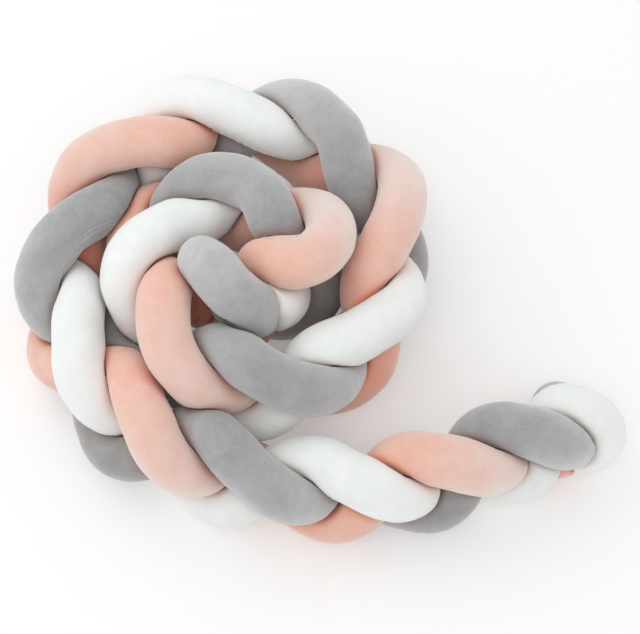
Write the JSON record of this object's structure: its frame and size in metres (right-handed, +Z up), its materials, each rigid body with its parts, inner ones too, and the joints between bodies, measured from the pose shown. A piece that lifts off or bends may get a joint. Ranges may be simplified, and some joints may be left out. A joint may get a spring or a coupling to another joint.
{
  "type": "crib bumper",
  "caption": "Plaited crib bumper of stuffed velvet tubes, stood on its edge and coiled into a loose rose with its end led out; it pads the inside of a crib's rails.",
  "frame": {"origin": "middle of the bounding box at the surface it rests on", "axes": "+Z up, +X towards the free end of the plait, +Y away from the picture's camera"},
  "size_m": [0.6325, 0.5075, 0.1951],
  "materials": {
    "white_velvet": "short-pile velvet, soft white",
    "grey_velvet": "short-pile velvet, mid grey",
    "pink_velvet": "short-pile velvet, salmon pink"
  },
  "bodies": {
    "root": {"strand_white": "white_velvet", "strand_grey": "grey_velvet", "strand_pink": "pink_velvet"}
  },
  "joints": []
}
